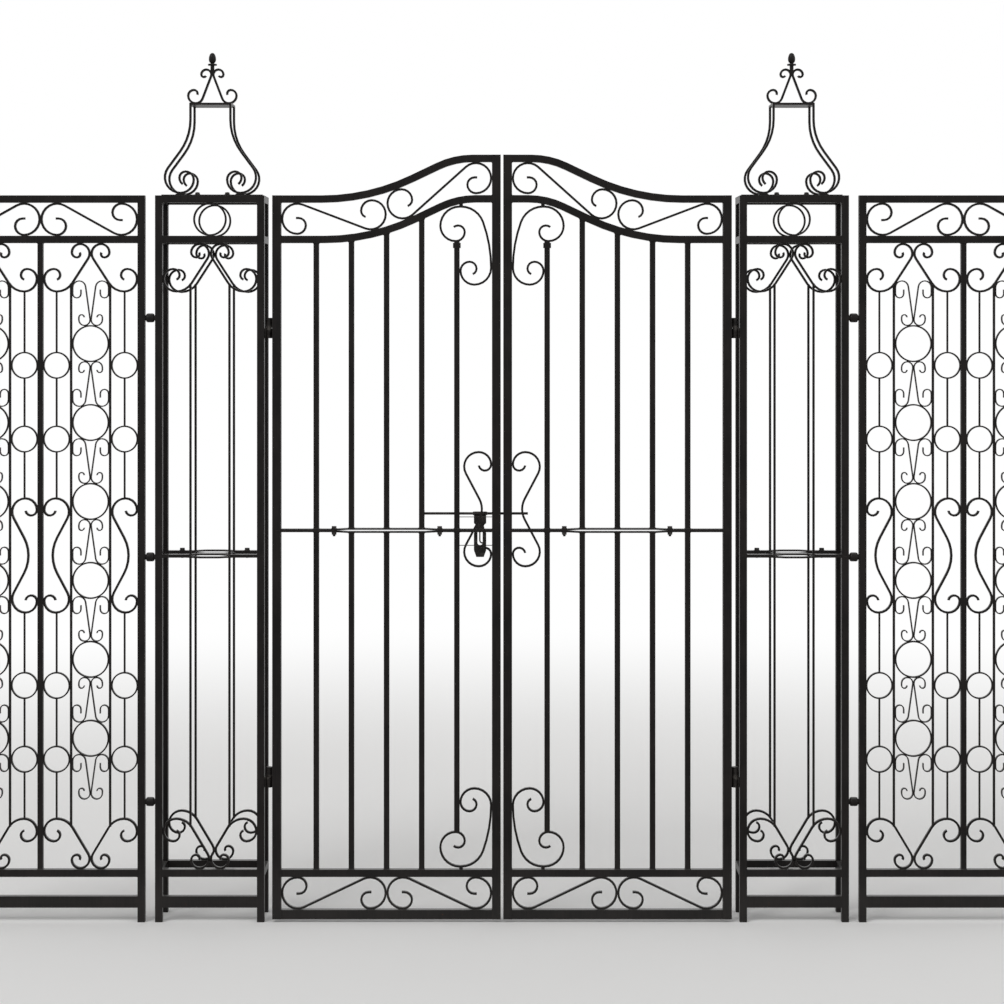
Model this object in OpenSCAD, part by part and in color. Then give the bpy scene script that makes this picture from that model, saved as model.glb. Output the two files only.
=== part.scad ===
// Wrought iron driveway gate: two leaves that swing between square pillars of open ironwork,
// a fence panel beside each pillar, a scrolled finial on each pillar and a slide bolt with a hasp.
// X runs along the gate, Y to the back (the side that the leaves open to), Z up, in millimetres.
// The origin is the middle of the foot of the left pillar's inner front post.
// Every piece of one side is drawn for the right half, measured from the middle of the gate,
// and the left half is its mirror image.

/* [Heights above the ground] */
// top of the pillars, the fence panels and the hinge side of the leaves
top_z = 1996.5; // [1500:0.5:2400]
// from the top of the top rail down to the top of the header rail
header_drop = 111; // [90:1:160]
// top of the rail above the feet
low_rail_top = 144.5; // [120:0.5:200]
// underside of the lowest rail of the pillars and panels
foot_rail_z = 40; // [20:1:60]
// height of the lowest rail of the pillars and panels
foot_rail_h = 31.5; // [15:0.5:45]
// underside of the leaves
leaf_lift = 8.5; // [5:0.5:15]
// height of the lowest rail of a leaf
leaf_foot_rail_h = 25.5; // [15:0.5:40]
// level where the upper half of a pillar is bolted on the lower half
pillar_joint_z = 1005.7; // [900:0.1:1100]
// level where the upper half of a leaf is bolted on the lower half
leaf_joint_z = 1075.8; // [1000:0.1:1150]

/* [Widths] */
// gap between the two leaves
leaf_gap = 7; // [6:0.5:20]
// width of one leaf
leaf_width = 627.5; // [500:0.5:900]
// gap between a leaf and its pillar, where the hinges are
hinge_gap = 22; // [21:0.5:40]
// width of a pillar
pillar_width = 300; // [240:1:400]
// depth of a pillar from the middle of the front frame to the middle of the back frame
pillar_depth = 120; // [100:1:300]
// gap between a pillar and its fence panel
fence_gap = 28; // [20:1:60]
// width of a fence panel
fence_width = 575.5; // [560:0.5:620]
// distance from the middle of a pillar to its thin bars
pillar_thin = 53.6; // [48:0.1:60]

/* [Bars] */
// square tube of the pillars and panels
post = 20; // [16:0.5:30]
// square tube of the leaves' stiles
leaf_tube = 24; // [20:0.5:30]
// height and depth of the rails
rail = 20; // [12:0.5:24]
// square of the upright bars
bar = 15; // [10:0.5:18]
// number of upright bars in a leaf
leaf_bars = 5; // [3:1:7]
// width of the thin upright bars
thin_bar = 6.3; // [5:0.1:10]
// width of the thinnest uprights, between the rings of the narrow columns
wire_bar = 5; // [4:0.5:7]
// thickness of each of the two flat strips at a bolted joint
joint_strip = 4.5; // [3:0.1:6]
// height that the strips bow apart between their bolts, each
joint_bow = 2; // [0.5:0.1:3]
// thickness of the scrolls and rings
strand = 6; // [5:0.5:8]
// thickness of the rings of the pillars' header bands
band_ring_t = 5; // [4:0.1:8]
// thickness of the rings of the fence panels
ring_t = 4; // [3:0.1:6]
// thickness of the joined pairs of curls between those rings
pair_t = 3.2; // [2.5:0.1:5]
// depth of the scrolls and rings, front to back
strand_depth = 10; // [8:0.5:14]
// how far a weld sinks one piece into the next
weld = 0.5; // [0.3:0.1:1]
// greatest distance between a curve and its straight steps
curve_tol = 0.4; // [0.3:0.05:0.8]

/* [Swept top of the leaves] */
// rise of the top from the hinge side to the meeting side
rise = 111.7; // [60:0.1:160]
// straight length of the top rail beside the hinge stile
sweep_start = 112; // [60:1:160]
// how much further from the hinge side the sweep of the header rail starts
header_shift = 8; // [0:0.5:15]
// slope of the middle of the sweep in degrees
sweep_angle = 25.5; // [15:0.5:35]
// radius of the hollow part of the sweep
hollow_r = 575; // [300:5:700]
// radius of the crown part of the sweep
crown_r = 220; // [150:5:300]

/* [Scrolls] */
// radius of the curls in the leaf's header band
header_curl_r = 41.5; // [30:0.5:43]
// height of the group of scrolls under the header rail
group_h = 136; // [120:0.5:160]
// height of the group of scrolls above the low rail
low_group_h = 141.5; // [120:0.5:160]
// radius of the large curls of those groups
group_r = 50; // [40:1:60]
// radius of the small curls of those groups
group_small_r = 26; // [20:1:30]
// radius of the rings of a fence panel
ring_r = 51; // [45:0.5:56]
// distance between the rings of a fence panel, centre to centre
ring_pitch = 217; // [205:0.1:240]
// number of rings in a column of a fence panel
ring_count = 6; // [4:1:7]
// centre of the top ring below the header rail
ring_start = 276.3; // [250:0.1:300]
// centre of the top small ring below the header rail
small_ring_start = 336; // [310:1:360]
// distance between two small rings, centre to centre
small_ring_pitch = 202.7; // [180:0.1:230]
// centre of the third small ring above the low rail
small_ring_rise = 504.8; // [470:0.1:520]
// how far the lyre scrolls of a fence panel stand above the middle between the second and third small ring
lyre_shift = 18.6; // [0:0.1:30]
// gap between the corner scrolls of a leaf and their rails
corner_lift = 5; // [2:0.5:8]
// height of the lyre scrolls
lyre_h = 320; // [280:1:360]
// width of the lyre scrolls in a leaf
lyre_w = 80; // [70:0.5:90]
// middle of the lyre scrolls of the leaves above the ground
lyre_z = 1134; // [1120:1:1150]
// thickness of the flat strips under a finial
finial_base_t = 5; // [3:0.5:8]
// height of the lower part of a finial above those strips
finial_foot_h = 248; // [200:1:300]
// half width of a finial
finial_half = 128.5; // [100:0.5:130]
// half width of the neck of a finial
finial_neck = 55; // [40:1:60]

/* [Hinges] */
// diameter of the hinge barrels
barrel_d = 18; // [14:0.5:20]
// diameter of the hinge pins
pin_d = 9; // [7:0.5:11]
// radial clearance of the pins and of the slide bolt in their bores
run_clear = 0.05; // [0.02:0.01:0.1]
// distance from the middle of the leaf's thickness back to the hinge pins
hinge_y = 5; // [4:0.5:8]
// distance from the pillar to the hinge pins
hinge_x = 12; // [10:0.5:12]
// height where the upper hinge parts
hinge_top_z = 1632; // [1400:1:1700]
// height where the lower hinge parts
hinge_low_z = 397; // [250:1:500]
// length of one barrel
barrel_h = 28; // [20:1:40]
// gap between the two barrels of a hinge
barrel_gap = 0.3; // [0.2:0.05:0.5]

/* [Spacers between the pillars and the fence panels] */
// height of the upper spacer
spacer_top_z = 1660; // [1400:5:1800]
// height of the lower spacer
spacer_low_z = 330; // [200:5:500]
// diameter of the rounded middle of a spacer
spacer_d = 25; // [18:0.5:30]

/* [Slide bolt] */
// diameter of the slide bolt
bolt_d = 7; // [6:0.5:9]
// distance from the leaf's middle plane back to the slide bolt
bolt_y = 17.5; // [16:0.5:20]
// height of the slide bolt above the ground
bolt_z = 1121; // [1110:0.5:1125]
// how far the shot bolt reaches past the middle of the gate
bolt_reach = 71.5; // [50:0.5:80]
// length of the slide bolt
bolt_len = 297.5; // [294:0.5:320]
// width of the hasp
hasp_w = 34; // [28:0.5:38]
// thickness of the hasp
hasp_t = 4; // [3:0.1:5]
// distance from the middle of the gate to the middle of the hasp
hasp_x = 60.5; // [58:0.5:62]
// length of the hasp below the middle of its barrel
hasp_len = 120; // [110:1:125]
// width of the slot in the hasp
hasp_slot_w = 14; // [10:0.5:16]
// thickness of the guard rods over the lock
guard_t = 2; // [1.5:0.1:4]

/* [Hidden] */

leaf_in = leaf_gap / 2;
leaf_out = leaf_in + leaf_width;
pillar_in = leaf_out + hinge_gap;
pillar_mid = pillar_in + pillar_width / 2;
pillar_out = pillar_in + pillar_width;
fence_in = pillar_out + fence_gap;
fence_mid = fence_in + fence_width / 2;
home_x = pillar_in + post / 2;

half = strand / 2;
header_z = top_z - header_drop;
band_h = header_drop - rail;
pillar_inner = pillar_width - 2 * post;

iron = [0.16, 0.15, 0.15];
iron_light = [0.3, 0.29, 0.28];
steel = [0.5, 0.5, 0.52];

// A path is a list of legs: [length, 0] runs straight, [radius, turn] is an arc.
// A point of a path is [x, z, heading].
function arc_steps(r, t) = max(1, ceil(abs(t) / (2 * acos(1 - min(0.9, curve_tol / r)))));
function leg(p, s) =
    s[1] == 0 ? [[p[0] + s[0] * cos(p[2]), p[1] + s[0] * sin(p[2]), p[2]]]
    : let (n = arc_steps(s[0], s[1]), k = sign(s[1]),
           cx = p[0] - k * s[0] * sin(p[2]), cz = p[1] + k * s[0] * cos(p[2]))
      [for (i = [1:n]) let (g = p[2] + s[1] * i / n) [cx + k * s[0] * sin(g), cz - k * s[0] * cos(g), g]];
function trail(p, legs, i = 0) =
    i == len(legs) ? [] : let (q = leg(p, legs[i])) concat(q, trail(q[len(q) - 1], legs, i + 1));
function turned(list) =
    [for (i = [len(list) - 1:-1:0]) [list[i][0], list[i][1], list[i][2] + 180]];
function both_ways(p, fwd, bwd) =
    concat(turned(trail([p[0], p[1], p[2] + 180], bwd)), [p], trail(p, fwd));
function side_line(list, w) = [for (q = list) [q[0] - w * sin(q[2]), q[1] + w * cos(q[2])]];
function reversed(list) = [for (i = [len(list) - 1:-1:0]) list[i]];
function signed(k, legs) = [for (s = legs) [s[0], k * s[1]]];
function turn_to(h, e, k) = let (t = k * (e - h)) k * (t - 360 * floor(t / 360));
function lead(h, e, k, r) = let (t = turn_to(h, e, k)) abs(t) < 0.01 ? [] : [[r, t]];

// The strand that joins two curls: k is 1 where a curl's centre lies left of the run and -1 right of it,
// e is the heading where the spiral of that curl starts, t its legs.
function scroll(c1, r1, k1, e1, t1, c2, r2, k2, e2, t2) =
    let (dx = c2[0] - c1[0], dz = c2[1] - c1[1], d = norm([dx, dz]), m = k2 * r2 - k1 * r1,
         h = atan2(dz, dx) - asin(m / d), run = sqrt(d * d - m * m),
         p = [c1[0] + k1 * r1 * sin(h), c1[1] - k1 * r1 * cos(h), h])
    both_ways(p,
        concat([[run, 0]], lead(h, e2, k2, r2), signed(k2, t2)),
        concat(lead(h + 180, e1, -k1, r1), signed(-k1, t1)));
function spiral(r) = [[r, 90], [0.57 * r, 90], [0.48 * r, 90], [0.17 * r, 0]];
function open_spiral(r) = [[0.93 * r, 90], [0.7 * r, 90], [0.43 * r, 72]];

// The swept line of the leaf's top, at distance x from the middle of the gate.
function sweep_u(x) = leaf_out - leaf_tube - sweep_start - x;
sweep_hollow = hollow_r * sin(sweep_angle);
sweep_straight = (rise - (hollow_r + crown_r) * (1 - cos(sweep_angle))) / sin(sweep_angle);
sweep_run = (hollow_r + crown_r) * sin(sweep_angle) + sweep_straight * cos(sweep_angle);
function sweep_dz(x) = let (u = sweep_u(x))
    u <= 0 ? 0
    : u < sweep_hollow ? hollow_r - sqrt(hollow_r * hollow_r - u * u)
    : u < sweep_hollow + sweep_straight * cos(sweep_angle)
        ? hollow_r * (1 - cos(sweep_angle)) + (u - sweep_hollow) * tan(sweep_angle)
    : u < sweep_run ? rise - crown_r + sqrt(crown_r * crown_r - (sweep_run - u) * (sweep_run - u))
    : rise;
function sweep_slope(x) = atan((sweep_dz(x - 2) - sweep_dz(x + 2)) / 4);
function header_edge(x, k) = rail_edge(x + header_shift, header_z, k);
function rail_edge(x, z, k) = z - rail / 2 + sweep_dz(x) + k * rail / 2 / cos(sweep_slope(x));

module flat_piece(depth)
    translate([0, depth / 2, 0]) rotate([90, 0, 0]) linear_extrude(height = depth) children();
module strip_of(list, w) polygon(concat(side_line(list, w / 2), reversed(side_line(list, -w / 2))));
module scrollwork(list, t = strand) flat_piece(strand_depth) strip_of(list, t);
module box(x0, x1, z0, z1, depth) translate([x0, -depth / 2, z0]) cube([x1 - x0, depth, z1 - z0]);
module pair() { children(); mirror([1, 0, 0]) children(); }
module right_side() translate([home_x, 0, 0]) children();
module left_side() translate([home_x, 0, 0]) mirror([1, 0, 0]) children();
module ring(r, t) {
    n = arc_steps(r, 360);
    flat_piece(strand_depth) difference() {
        circle(r = r, $fn = n);
        circle(r = r - t, $fn = n);
    }
}

// Two curled strands that meet in the middle, half width hw: small curls of radius r1 with their centres
// at height z1, large ones of radius r2 with their centres at height z2.
module joined_pair(hw, z1, r1, z2, r2, t) {
    pair() scrollwork(scroll(
        [weld / 2 - t / 2 - r1, z1], r1, -1, 180, [[r1, 90], [0.44 * r1, 0], [0.48 * r1, 180]],
        [r2 + t / 2 - hw, z2], r2, -1, 180, [[r2, 90], [0.98 * r2, 0], [0.64 * r2, 180], [0.65 * r2, 0]]), t);
}
// The wide group under a header rail, w wide and h high, hung from z = 0.
module hung_group(w, h) {
    r1 = group_small_r;
    r2 = group_r;
    pair() scrollwork(scroll(
        [weld / 2 - half - r1, weld - half - r1], r1, -1, 180,
        [[0.88 * r1, 90], [0.54 * r1, 90], [0.35 * r1, 120]],
        [half - weld - w / 2 + 0.7 * r2, half + r2 - h], r2, -1, 180,
        [[0.7 * r2, 90], [0.54 * r2, 90], [0.34 * r2, 90], [0.26 * r2, 70]]));
}
// Where the thin uprights meet that group.
function group_reach(h) = h - group_r / 2;

// A lyre standing on its middle, its curls at x = 0 and its bows at x = w.
function lyre_half(w, h, waist_r, k) =
    let (c = w - strand, r = 0.54 * c, q = 0.46 * c, cu = q - 0.342 * c, cv = h / 2 - half - r,
         d = norm([waist_r - cu, cv]), b = asin((waist_r + r) / d), a = b - atan2(waist_r - cu, cv))
    [[waist_r, k * a], [sqrt(d * d - (waist_r + r) * (waist_r + r)), 0], [r, -k * (a + 90)],
     [q, -k * 90], [q / 2, -k * 170]];
module lyre(w, h, waist_r)
    scrollwork(both_ways([half + 0.342 * (w - strand), 0, 270], lyre_half(w, h, waist_r, 1),
        lyre_half(w, h, waist_r, -1)));

// Leaf

function bar_x(i) = leaf_out - leaf_tube - i * (leaf_width - 2 * leaf_tube) / (leaf_bars + 1);

module swept_rail(z, shift) {
    flat_piece(rail) strip_of(concat([[leaf_out - leaf_tube / 2, z - rail / 2, 180]],
        trail([leaf_out - leaf_tube / 2, z - rail / 2, 180], [[leaf_tube / 2 + sweep_start + shift, 0],
            [hollow_r, -sweep_angle], [sweep_straight, 0], [crown_r, sweep_angle],
            [leaf_width - 1.5 * leaf_tube - sweep_start - sweep_run - shift, 0]])), rail);
}
// A flat strip of a bolted joint that bows away from its neighbour between the bolts, k = 1 upward.
module joint_line(x0, x1, inset, z, k) {
    ramp = 2 * atan(joint_bow / 40);
    r = 20 / sin(ramp);
    mid = x1 - x0 - 2 * inset - 80;
    flat_piece(rail) strip_of(concat([[x0, z + k * joint_strip / 2, 0]],
        trail([x0, z + k * joint_strip / 2, 0], [[inset, 0], [r, k * ramp], [r, -k * ramp], [mid, 0],
            [r, -k * ramp], [r, k * ramp], [inset, 0]])), joint_strip);
}
module leaf_joint(k)
    joint_line(leaf_in + leaf_tube - weld, leaf_out - leaf_tube + weld, 144 + weld, leaf_joint_z, k);

corner_r = 64;
corner_long_r = 370;
corner_turn = 70;
corner_low_r = [53, 42, 25, 18, 20];
corner_top_r = [46, 38, 25, 19, 16];
corner_run = corner_r * sin(corner_turn) + corner_long_r * (1 - sin(corner_turn));
corner_x = leaf_in + leaf_tube - weld + half + corner_run;
corner_h = corner_lift + corner_low_r[0] + corner_low_r[1] - weld + half;
// The scroll in the corner by the meeting stile, on a short block that stands at z = 0 on a rail.
module corner_scroll() translate([corner_x, 0, 0]) {
    box(-strand_depth / 2, strand_depth / 2, -2, corner_lift, strand_depth);
    translate([0, 0, corner_lift + half - weld]) scrollwork(both_ways([0, 0, 180],
        concat([[corner_r, -corner_turn], [corner_long_r, corner_turn - 90]],
            [for (i = [0:3]) [corner_top_r[i], -90]], [[corner_top_r[4], -70]]),
        concat([[4, 0]], [for (i = [0:3]) [corner_low_r[i], 90]], [[corner_low_r[4], 38]])));
}
corner_top = header_edge(corner_x, -1);

module header_scrolls() {
    mid = (leaf_in + leaf_out) / 2;
    r = header_curl_r;
    gap = half - weld + r;
    x1 = leaf_out - leaf_tube - gap;
    x2 = mid + gap;
    x3 = mid - gap;
    x4 = leaf_in + leaf_tube + gap;
    scrollwork(scroll(
        [x1, rail_edge(x1, top_z, -1) - gap / cos(sweep_slope(x1))], r, 1, 270, spiral(r),
        [x2, header_edge(x2, 1) + gap / cos(sweep_slope(x2 + header_shift))], r, -1, 90, open_spiral(r)));
    scrollwork(scroll(
        [x3, header_edge(x3, 1) + gap / cos(sweep_slope(x3 + header_shift))], r, -1, 90, open_spiral(r),
        [x4, rail_edge(x4, top_z, -1) - gap / cos(sweep_slope(x4))], r, 1, 270, spiral(r)));
}
module leaf_top() {
    last = bar_x(leaf_bars);
    box(leaf_in, leaf_in + leaf_tube, leaf_joint_z, top_z + rise, leaf_tube);
    box(leaf_out - leaf_tube, leaf_out, leaf_joint_z, top_z, leaf_tube);
    swept_rail(top_z, 0);
    swept_rail(header_z, header_shift);
    leaf_joint(1);
    for (i = [1:leaf_bars - 1])
        box(bar_x(i) - bar / 2, bar_x(i) + bar / 2,
            leaf_joint_z + joint_strip, header_edge(bar_x(i), 0), bar);
    box(last - bar / 2, last + bar / 2, leaf_joint_z + joint_strip, corner_top - corner_h, bar);
    box(last - bar / 2 - 3, last + bar / 2 + 3,
        corner_top - corner_h - 19, corner_top - corner_h - 5, bar + 6);
    translate([0, 0, corner_top]) mirror([0, 0, 1]) corner_scroll();
    header_scrolls();
    intersection() {
        translate([leaf_in + leaf_tube - weld, 0, lyre_z]) lyre(lyre_w, lyre_h, 60);
        box(leaf_in, leaf_in + 2 * lyre_w, leaf_joint_z + joint_strip / 2, lyre_z + lyre_h, strand_depth + 2);
    }
}
module base_scrolls() {
    mid = (leaf_in + leaf_out) / 2;
    z0 = leaf_lift + leaf_foot_rail_h;
    z1 = low_rail_top - rail;
    r = (z1 - z0) / 2 - half + weld;
    gap = half - weld + r;
    translate([mid, 0, 0]) pair() scrollwork(scroll(
        [gap, z1 - gap], r, -1, 270, spiral(r),
        [leaf_width / 2 - leaf_tube - gap, z0 + gap], r, 1, 90, spiral(r)));
}
module leaf_base() {
    last = bar_x(leaf_bars);
    box(leaf_in, leaf_in + leaf_tube, leaf_lift, leaf_joint_z, leaf_tube);
    box(leaf_out - leaf_tube, leaf_out, leaf_lift, leaf_joint_z, leaf_tube);
    box(leaf_in + leaf_tube - weld, leaf_out - leaf_tube + weld,
        leaf_lift, leaf_lift + leaf_foot_rail_h, rail);
    box(leaf_in + leaf_tube - weld, leaf_out - leaf_tube + weld, low_rail_top - rail, low_rail_top, rail);
    leaf_joint(-1);
    for (i = [1:leaf_bars - 1])
        box(bar_x(i) - bar / 2, bar_x(i) + bar / 2, low_rail_top - weld, leaf_joint_z - joint_strip, bar);
    box(last - bar / 2, last + bar / 2, low_rail_top + corner_h, leaf_joint_z - joint_strip, bar);
    translate([0, 0, low_rail_top]) corner_scroll();
    base_scrolls();
    intersection() {
        translate([leaf_in + leaf_tube - weld, 0, lyre_z]) lyre(lyre_w, lyre_h, 60);
        box(leaf_in, leaf_in + 2 * lyre_w, lyre_z - lyre_h, leaf_joint_z - joint_strip / 2, strand_depth + 2);
    }
}

// Hinges

hinge_at = pillar_in - hinge_x;
pin_up = barrel_h * 0.8;
// The lug reaches from the barrel to the stile or the post.
module lug(x0, x1, z) translate([min(x0, x1), hinge_y - 4, z]) cube([abs(x1 - x0), 8, barrel_h]);
module leaf_hinge(z) {
    z0 = z + barrel_gap / 2;
    difference() {
        union() {
            translate([hinge_at, hinge_y, z0]) cylinder(d = barrel_d, h = barrel_h, $fn = 24);
            lug(leaf_out, hinge_at, z0);
        }
        translate([hinge_at, hinge_y, z0 - 1]) cylinder(d = pin_d + 2 * run_clear, h = pin_up + 2);
    }
}
module pillar_hinge(z) {
    z0 = z - barrel_gap / 2 - barrel_h;
    translate([hinge_at, hinge_y, z0]) cylinder(d = barrel_d, h = barrel_h, $fn = 24);
    lug(pillar_in, hinge_at, z0);
    translate([hinge_at, hinge_y, z0 + 1]) cylinder(d = pin_d, h = barrel_h + pin_up - 1);
}
module leaf_hinges() for (z = [hinge_top_z, hinge_low_z]) leaf_hinge(z);
module hinge_pins() for (z = [hinge_top_z, hinge_low_z]) pillar_hinge(z);

// Pillar, drawn about its own middle

bow_inset = pillar_inner / 2 - 65;
module pillar_top() {
    a = pillar_width / 2;
    b = a - post;
    pair() box(b, a, pillar_joint_z, top_z, post);
    box(-b - weld, b + weld, top_z - rail, top_z, rail);
    box(-b - weld, b + weld, header_z - rail, header_z, rail);
    joint_line(-b - weld, b + weld, bow_inset + weld, pillar_joint_z, 1);
    translate([0, 0, header_z + band_h / 2]) ring(band_h / 2 + weld, band_ring_t);
    translate([0, 0, header_z - rail]) hung_group(pillar_inner, group_h);
    pair() box(pillar_thin - thin_bar / 2, pillar_thin + thin_bar / 2, pillar_joint_z + joint_strip,
        header_z - rail - group_reach(group_h), thin_bar);
}
module pillar_base(front) {
    a = pillar_width / 2;
    b = a - post;
    pair() box(b, a, 0, pillar_joint_z, post);
    box(-b - weld, b + weld, low_rail_top - rail, low_rail_top, rail);
    if (front) box(-b - weld, b + weld, foot_rail_z, foot_rail_z + foot_rail_h, rail);
    joint_line(-b - weld, b + weld, bow_inset + weld, pillar_joint_z, -1);
    translate([0, 0, low_rail_top]) mirror([0, 0, 1]) hung_group(pillar_inner, low_group_h);
    pair() box(pillar_thin - thin_bar / 2, pillar_thin + thin_bar / 2,
        low_rail_top + group_reach(low_group_h), pillar_joint_z - joint_strip, thin_bar);
}
module front_frame() translate([pillar_mid, 0, 0]) children();
module back_frame() translate([pillar_mid, pillar_depth, 0]) children();
module cross_rails() {
    for (x = [pillar_in, pillar_out - post], z = [top_z, header_z, low_rail_top])
        translate([x, post / 2, z - rail]) cube([post, pillar_depth - post, rail]);
}

// Finial: flat strips on the rails, two bowed frames, front and back, on them, and a pair of curls
// with a knob on the bar between the frames

finial_y = pillar_depth / 2 - post / 2 - 2;
finial_bar_w = 2 * finial_neck + strand;
finial_bar_t = 6;
finial_shank = 43;
finial_curl = 43;
finial_bow = 150;
finial_strip_w = 25;
knob_z = 99;
module finial_side() {
    r = finial_curl;
    wr = finial_bow;
    cu = finial_half - half - r - finial_neck;
    cv = finial_foot_h - finial_shank - half - r;
    d = norm([wr - cu, cv]);
    b = asin((wr + r) / d);
    a = b - atan2(wr - cu, cv);
    pair() scrollwork(both_ways([-finial_neck, finial_foot_h - finial_shank, 270],
        [[wr, -a], [sqrt(d * d - (wr + r) * (wr + r)), 0], [r, a + 90],
         [0.85 * r, 90], [0.52 * r, 90], [0.4 * r, 90], [0.51 * r, 53]],
        [[finial_shank - 3 + weld, 0]]));
}
module finial_strips() {
    long = pillar_width / 2 - post / 2;
    translate([-long, -finial_strip_w / 2, 0]) cube([2 * long, finial_strip_w, finial_base_t]);
    pair() translate([finial_half - half - finial_curl - finial_strip_w / 2, -pillar_depth / 2, 0])
        cube([finial_strip_w, pillar_depth, finial_base_t]);
}
module finial() translate([pillar_mid, pillar_depth / 2, top_z]) {
    finial_strips();
    for (y = [-finial_y, finial_y]) translate([0, y, finial_base_t - weld / 2]) finial_side();
    translate([-finial_bar_w / 2, -finial_y - strand_depth / 2, finial_base_t + finial_foot_h - 3])
        cube([finial_bar_w, 2 * finial_y + strand_depth, finial_bar_t]);
    translate([0, 0, finial_base_t + finial_foot_h + finial_bar_t - 3]) {
        joined_top(70, knob_z, -weld, 14, 20);
        translate([0, 0, knob_z - 16]) cylinder(r = 5.5, h = 25, $fn = 24);
        translate([0, 0, knob_z]) rotate_extrude($fn = 32) polygon([[0, 8], [12, 8], [12.5, 9], [12.5, 11.5],
            [12, 12.5], [5.5, 12.5], [5.5, 15], [8.2, 17.5], [9.7, 21], [10.2, 25], [9.8, 30], [8.6, 35],
            [6.6, 39.5], [3.6, 42.5], [0, 43.5]]);
    }
}
// The pair of curled strands on a finial, half width hw, from the foot z0 of the large curls to the top z1
// of the small ones.
module joined_top(hw, z1, z0, r1, r2) {
    pair() scrollwork(scroll(
        [weld / 2 - half - r1, z1 - half - r1], r1, -1, 180, [[r1, 90], [0.5 * r1, 150]],
        [r2 * 1.05 - hw + half, z0 + half + r2], r2, -1, 180,
        [[r2 * 1.05, 90], [0.8 * r2, 90], [0.5 * r2, 110]]));
}

// Fence panel, drawn about its own middle

fence_inner_half = fence_width / 2 - post - bar / 2;
half_mid = bar / 2 + fence_inner_half / 2;
medium_off = ring_r - weld + thin_bar / 2;
narrow_w = fence_inner_half / 2 - medium_off - thin_bar / 2;
narrow_off = medium_off + thin_bar / 2 + narrow_w / 2;
small_ring_r = narrow_w / 2 + weld;
pair_small_r = 15.5;
pair_large_r = 17.85;
function ring_z(i) = header_z - rail - ring_start - i * ring_pitch;
// Height above a ring's centre at which a curl of radius r, x to the side, rests on the ring.
function rest(r, x) = sqrt(pow(ring_r + r + pair_t / 2 - weld, 2) - x * x);

module wide_column() {
    for (i = [0:ring_count - 1]) translate([0, 0, ring_z(i)]) ring(ring_r, ring_t);
    for (i = [0:ring_count]) translate([0, 0, ring_z(i) + ring_pitch / 2])
        mirror([0, 0, i % 2 == 0 ? 1 : 0])
            joined_pair(ring_r,
                ring_pitch / 2 - rest(pair_small_r, pair_small_r + pair_t / 2), pair_small_r,
                rest(pair_large_r, ring_r - pair_t / 2 - pair_large_r) - ring_pitch / 2, pair_large_r, pair_t);
}
module narrow_column(k) {
    zt = header_z - rail - group_h;
    zb = low_rail_top + low_group_h;
    z1 = header_z - rail - small_ring_start;
    z2 = z1 - small_ring_pitch;
    z3 = low_rail_top + small_ring_rise;
    z4 = z3 - small_ring_pitch;
    zl = (z2 + z3) / 2 + lyre_shift;
    for (z = [z1, z2, z3, z4]) translate([0, 0, z]) ring(small_ring_r, ring_t);
    for (s = [[zt + weld, z1 + small_ring_r - weld], [z1 - small_ring_r + weld, z2 + small_ring_r - weld],
              [z2 - small_ring_r + weld, zl + lyre_h / 2 - weld],
              [zl - lyre_h / 2 + weld, z3 + small_ring_r - weld],
              [z3 - small_ring_r + weld, z4 + small_ring_r - weld], [z4 - small_ring_r + weld, zb - weld]])
        box(-wire_bar / 2, wire_bar / 2, s[1], s[0], wire_bar);
    translate([k * (narrow_w / 2 + weld), 0, zl]) mirror([k > 0 ? 1 : 0, 0, 0])
        lyre(narrow_w + 2 * weld, lyre_h, 105);
}
module fence_header() {
    r = band_h / 2 - half + weld;
    z = header_z + band_h / 2;
    pair() translate([0, 0, z]) scrollwork(scroll(
        [half - weld + r, 0], r, -1, 270, spiral(r),
        [fence_width / 2 - post - half + weld - r, 0], r, 1, 90, spiral(r)));
}
module fence() translate([fence_mid, 0, 0]) {
    a = fence_width / 2;
    b = a - post;
    pair() box(b, a, 0, top_z, post);
    box(-b - weld, b + weld, top_z - rail, top_z, rail);
    box(-b - weld, b + weld, header_z - rail, header_z, rail);
    box(-b - weld, b + weld, low_rail_top - rail, low_rail_top, rail);
    box(-b - weld, b + weld, foot_rail_z, foot_rail_z + foot_rail_h, rail);
    box(-bar / 2, bar / 2, low_rail_top - weld, header_z - rail + weld, bar);
    fence_header();
    pair() translate([half_mid, 0, 0]) {
        translate([0, 0, header_z - rail]) hung_group(fence_inner_half, group_h);
        translate([0, 0, low_rail_top]) mirror([0, 0, 1]) hung_group(fence_inner_half, low_group_h);
        pair() box(medium_off - thin_bar / 2, medium_off + thin_bar / 2,
            low_rail_top + group_reach(low_group_h), header_z - rail - group_reach(group_h), thin_bar);
        wide_column();
        translate([narrow_off, 0, 0]) narrow_column(1);
        translate([-narrow_off, 0, 0]) narrow_column(-1);
    }
}
// A spacer is a round bar with a thicker middle that is rounded at both ends.
module spacers() for (z = [pillar_joint_z - 3, spacer_top_z, spacer_low_z])
    translate([pillar_out, 0, z]) rotate([0, 90, 0]) {
        r = spacer_d / 2;
        e = fence_gap - 3;
        rotate_extrude($fn = 32) polygon([[0, 0], [0.6 * r, 0], [0.6 * r, 3], [0.8 * r, 3.4], [0.93 * r, 5],
            [r, 8], [r, e - 5], [0.93 * r, e - 2], [0.8 * r, e - 0.4], [0.6 * r, e], [0.6 * r, fence_gap],
            [0, fence_gap]]);
    }

// Slide bolt and hasp, on the back of the left leaf

guide_h = 18;
guide_back = bolt_y + bolt_d / 2 + 4;
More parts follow.
